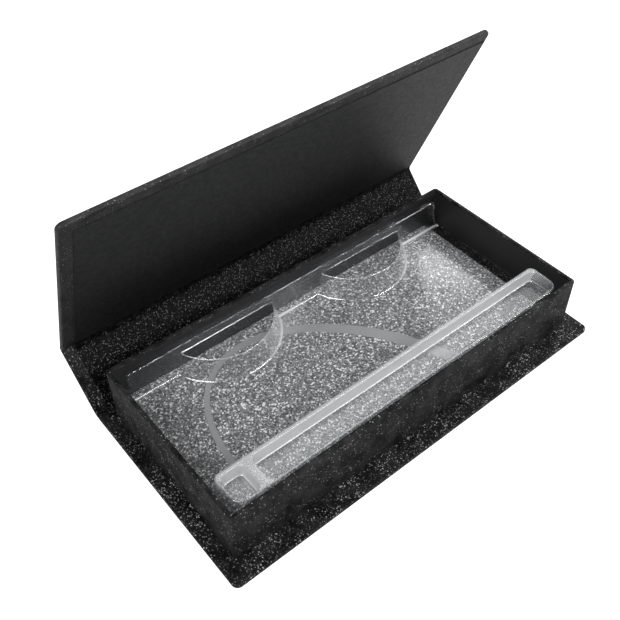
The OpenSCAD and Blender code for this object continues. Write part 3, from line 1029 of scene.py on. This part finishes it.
class LASHCASE_OT_liner(bpy.types.Operator):
    """Liner sheet, from the base over the spine to the lid"""

    bl_idname = "lashcase.liner"
    bl_label = "Liner"

    def execute(self, context):
        look = context.scene.lash_case
        spine = liner_paper(look, "spine_liner_paper", specular=0.06)
        lid = liner_paper(look, "lid_liner_paper", specular=0.5)
        hem = SPINE_FOLD.y - TRAY_HIGH.y
        middle = SPINE_SPAN / 2
        # Painted shade and glints over the base and the spine, the lid's look inside the lid.
        low = liner_sheet("liner_low", BASE, SPINE, hem, middle, LOW_BEND,
                          (0.0, 0.0), spine)
        high = liner_sheet("liner_high", SPINE_TOP, LID, middle,
                           PANEL_SPAN - look.liner_front, look.liner_bend,
                           (0.0, 1.0), spine)
        high.data.materials.append(lid)
        for face in high.data.polygons:
            face.material_index = int(LID.rise(face.center) > look.liner_bend)
        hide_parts("base_liner", "spine_liner")
        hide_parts("lid_liner")
        return {"FINISHED"}


class LASHCASE_OT_tray(bpy.types.Operator):
    """Papers of the tray"""

    bl_idname = "lashcase.tray"
    bl_label = "Tray papers"

    def execute(self, context):
        look = context.scene.lash_case
        # The tray walls get the lighter ground too: painted light.
        wall = glitter_paper("tray_glitter_paper", tuple(look.lit_paper_colour),
                             share=0.055, painted_glint_level=0.6)
        tray_paper(look, wall)
        lining_paper(look, smooth_paper(look))
        floor = glitter_paper("floor_glitter_paper", tuple(look.paper_colour),
                              share=0.12, painted_glint_level=0.50)
        paint(floor, "floor_paper")
        return {"FINISHED"}


class LASHCASE_OT_insert(bpy.types.Operator):
    """Clear formed insert"""

    bl_idname = "lashcase.insert"
    bl_label = "Clear insert"

    def execute(self, context):
        sizes = context.scene.lash_insert
        mesh = FormedSheet(sizes).mesh("clear_insert")
        thing = link("clear_insert", mesh, clear_sheet())
        thicken(thing, sizes.sheet - sizes.air)
        even_normals(thing)
        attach(thing, "base")
        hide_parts("lash_insert")
        return {"FINISHED"}


class LASHCASE_OT_card(bpy.types.Operator):
    """Silver glitter card"""

    bl_idname = "lashcase.card"
    bl_label = "Glitter card"

    def execute(self, context):
        paint(silver_glitter(context.scene.lash_case), "glitter_card")
        return {"FINISHED"}


class LASHCASE_OT_inner_pieces(bpy.types.Operator):
    """Boards, tapes, adhesive and magnets inside the case"""

    bl_idname = "lashcase.inner_pieces"
    bl_label = "Inner pieces"

    def execute(self, context):
        paint(grey_board(), "base_board", "tray_bottom", "tray_front_wall",
              "tray_back_wall", "tray_left_wall", "tray_right_wall", "floor_riser",
              "spine_board", "lid_board")
        tape = grained("paper_tape", 900.0, 4.0, (0.30, 0.22, 0.13), (0.52, 0.40, 0.26),
                       roughness=0.45, spread=0.3)
        plating = grained("magnet_plating", 1200.0, 3.0, (0.50, 0.50, 0.51),
                          (0.68, 0.68, 0.70), roughness=0.22, spread=0.2, metallic=1.0)
        paint(tape, "corner_tapes")
        paint(adhesive_film(), "tray_adhesive")
        paint(plating, "front_magnets", "lid_magnets")
        return {"FINISHED"}


def paint(finish, *names):
    """Gives nodes of the frame one finish."""
    for name in names:
        slots = NODES[name].data.materials
        slots.clear()
        slots.append(finish)


def table_top():
    """Pale floor: white where nothing shades it, with the soft shadow of the case."""
    finish, place = new_finish("pale_floor")
    cloud = finish.noise(place, 3.0)
    lit = finish.principled({
        "Base Color": finish.mix(cloud, (0.60, 0.60, 0.60), (0.64, 0.64, 0.64)),
        "Roughness": 0.9, "Specular IOR Level": 0.0})
    glow = finish.node("Emission", None, {"Color": WHITE, "Strength": 0.85})
    both = finish.node("AddShader", None, {0: lit, 1: glow})
    path = finish.node("LightPath", None, None, "Is Camera Ray")
    return finish.surface(finish.layered(path, lit, both))


def area_lamp(name, direction, distance, width, height, power):
    """Softbox that faces the case."""
    lamp = bpy.data.lights.new(name, "AREA")
    lamp.shape = "RECTANGLE"
    lamp.size, lamp.size_y = width, height
    lamp.energy = power
    thing = link(name, lamp)
    away = Vector(direction).normalized()
    thing.location = away * distance
    thing.rotation_mode = "QUATERNION"
    thing.rotation_quaternion = away.to_track_quat("Z", "Y")


def set_world():
    """White for what is seen, also through the clear sheet, and a soft grey light."""
    world = bpy.data.worlds.new("studio")
    bpy.context.scene.world = world
    finish = Finish(world)
    seen = finish.node("LightPath", None, None, "Is Camera Ray")
    seen = seen.largest(seen.beside("Is Transmission Ray"))
    white, soft = (
        finish.node("Background", None, {"Color": WHITE, "Strength": strength})
        for strength in (1.0, SOFT_LIGHT))
    finish.surface(finish.layered(seen, soft, white))


class LASHCASE_OT_stage(bpy.types.Operator):
    """Camera, floor, lamps and background"""

    bl_idname = "lashcase.stage"
    bl_label = "Stage"

    def execute(self, context):
        look = context.scene.lash_stage
        self.set_camera(context, look)
        half = look.floor_size / 2
        corners = [(x * half, y * half, FLOOR_LEVEL)
                   for x, y in ((-1, -1), (1, -1), (1, 1), (-1, 1))]
        link("floor", mesh_of("floor", corners, [[0, 1, 2, 3]]), table_top())
        for lamp in LAMPS:
            area_lamp(*lamp)
        set_world()
        context.scene.view_settings.view_transform = "Standard"
        return {"FINISHED"}

    def set_camera(self, context, look):
        """Places the camera and turns it by its turn, drop and roll."""
        data = bpy.data.cameras.new("camera")
        data.sensor_width = SENSOR
        data.lens = look.lens
        data.shift_x, data.shift_y = LENS_SHIFT
        data.clip_start = NEAREST
        camera = link("camera", data)
        camera.rotation_mode = "QUATERNION"
        camera.location = look.camera_place
        tilt = math.pi / 2 - look.camera_drop
        axes = (Matrix.Rotation(look.camera_turn, 3, "Z") @ Matrix.Rotation(tilt, 3, "X")
                @ Matrix.Rotation(look.camera_roll, 3, "Z"))
        camera.rotation_quaternion = axes.to_quaternion()
        context.scene.camera = camera


class LASHCASE_PT_panel(bpy.types.Panel):
    """Buttons for each piece of the case"""

    bl_idname = "LASHCASE_PT_panel"
    bl_label = "Lash Case"
    bl_space_type = "VIEW_3D"
    bl_region_type = "UI"
    bl_category = "Lash Case"

    def draw(self, context):
        for operator in OPERATORS:
            self.layout.operator(operator.bl_idname)
        for group in SETTINGS:
            settings = getattr(context.scene, group)
            for name in settings.__annotations__:
                self.layout.prop(settings, name)


OPERATORS = (
    LASHCASE_OT_stage,
    LASHCASE_OT_wrapped_panels,
    LASHCASE_OT_liner,
    LASHCASE_OT_tray,
    LASHCASE_OT_card,
    LASHCASE_OT_insert,
    LASHCASE_OT_inner_pieces,
)
SETTINGS = {"lash_case": CasePapers, "lash_insert": InsertSizes, "lash_stage": StageLook}


def register():
    for kind in (*SETTINGS.values(), *OPERATORS, LASHCASE_PT_panel):
        bpy.utils.register_class(kind)
    for name, kind in SETTINGS.items():
        setattr(bpy.types.Scene, name, PointerProperty(type=kind))


def unregister():
    for name in SETTINGS:
        delattr(bpy.types.Scene, name)
    for kind in (LASHCASE_PT_panel, *reversed(OPERATORS), *SETTINGS.values()):
        bpy.utils.unregister_class(kind)


def main():
    register()
    bpy.ops.lashcase.stage()
    bpy.ops.lashcase.wrapped_panels()
    bpy.ops.lashcase.liner()
    bpy.ops.lashcase.tray()
    bpy.ops.lashcase.card()
    bpy.ops.lashcase.insert()
    bpy.ops.lashcase.inner_pieces()


if __name__ == "__main__":
    main()
